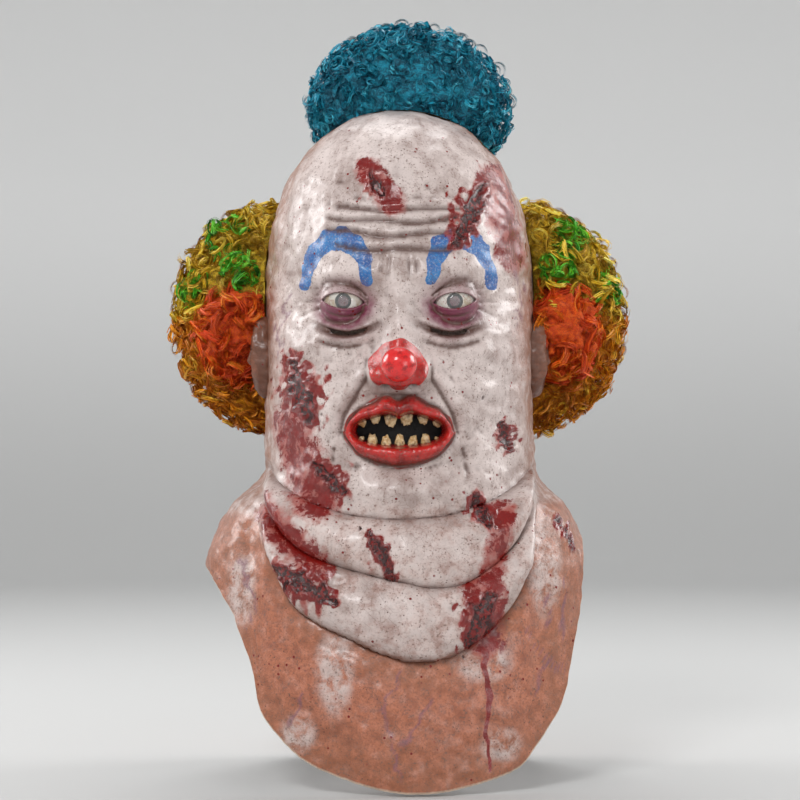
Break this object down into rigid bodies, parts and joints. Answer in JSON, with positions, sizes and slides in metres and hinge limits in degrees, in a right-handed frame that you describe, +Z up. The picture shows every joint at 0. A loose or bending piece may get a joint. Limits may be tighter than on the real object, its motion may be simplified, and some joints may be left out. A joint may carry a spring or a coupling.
{
  "type": "latex halloween mask",
  "caption": "Full-head latex clown mask with a chest and back bib, glued-in eyes and teeth, curly synthetic hair tufts and foam fit pads.",
  "frame": {"origin": "centre of the underside of the crown pad, where the top of the wearer's head rests", "axes": "+Z up along the wearer's head, the face looks along -Y, and +X is the wearer's left"},
  "size_m": [0.356, 0.2827, 0.5798],
  "materials": {
    "painted_latex": "satin paint with gloss streaks",
    "red_latex": "gloss",
    "acrylic_eye": "gloss",
    "clouded_iris": "gloss",
    "clear_cornea": "polished",
    "gum_latex": "wet gloss",
    "tooth_resin": "gloss",
    "black_gauze": "fine mesh",
    "wig_net": "net",
    "blue_hair": "curly synthetic hair",
    "green_hair": "curly synthetic hair",
    "yellow_hair": "curly synthetic hair",
    "orange_hair": "curly synthetic hair",
    "foam": "open-cell foam"
  },
  "bodies": {
    "root": {"brow_pad": "foam", "crown_curls": "blue_hair", "crown_net": "wig_net", "crown_pad": "foam", "latex_skin": "painted_latex", "left_cornea": "clear_cornea", "left_ear": "painted_latex", "left_eye": "acrylic_eye", "left_green_curls": "green_hair", "left_iris": "clouded_iris", "left_net": "wig_net", "left_orange_curls": "orange_hair", "left_yellow_curls": "yellow_hair", "lower_gum": "gum_latex", "lower_tooth_1": "tooth_resin", "lower_tooth_2": "tooth_resin", "lower_tooth_3": "tooth_resin", "lower_tooth_4": "tooth_resin", "lower_tooth_5": "tooth_resin", "lower_tooth_6": "tooth_resin", "lower_tooth_7": "tooth_resin", "mouth_screen": "black_gauze", "nape_pad": "foam", "nose_ball": "red_latex", "right_cornea": "clear_cornea", "right_ear": "painted_latex", "right_eye": "acrylic_eye", "right_green_curls": "green_hair", "right_iris": "clouded_iris", "right_net": "wig_net", "right_orange_curls": "orange_hair", "right_yellow_curls": "yellow_hair", "upper_gum": "gum_latex", "upper_tooth_1": "tooth_resin", "upper_tooth_2": "tooth_resin", "upper_tooth_3": "tooth_resin", "upper_tooth_4": "tooth_resin", "upper_tooth_5": "tooth_resin", "upper_tooth_6": "tooth_resin"}
  },
  "joints": []
}
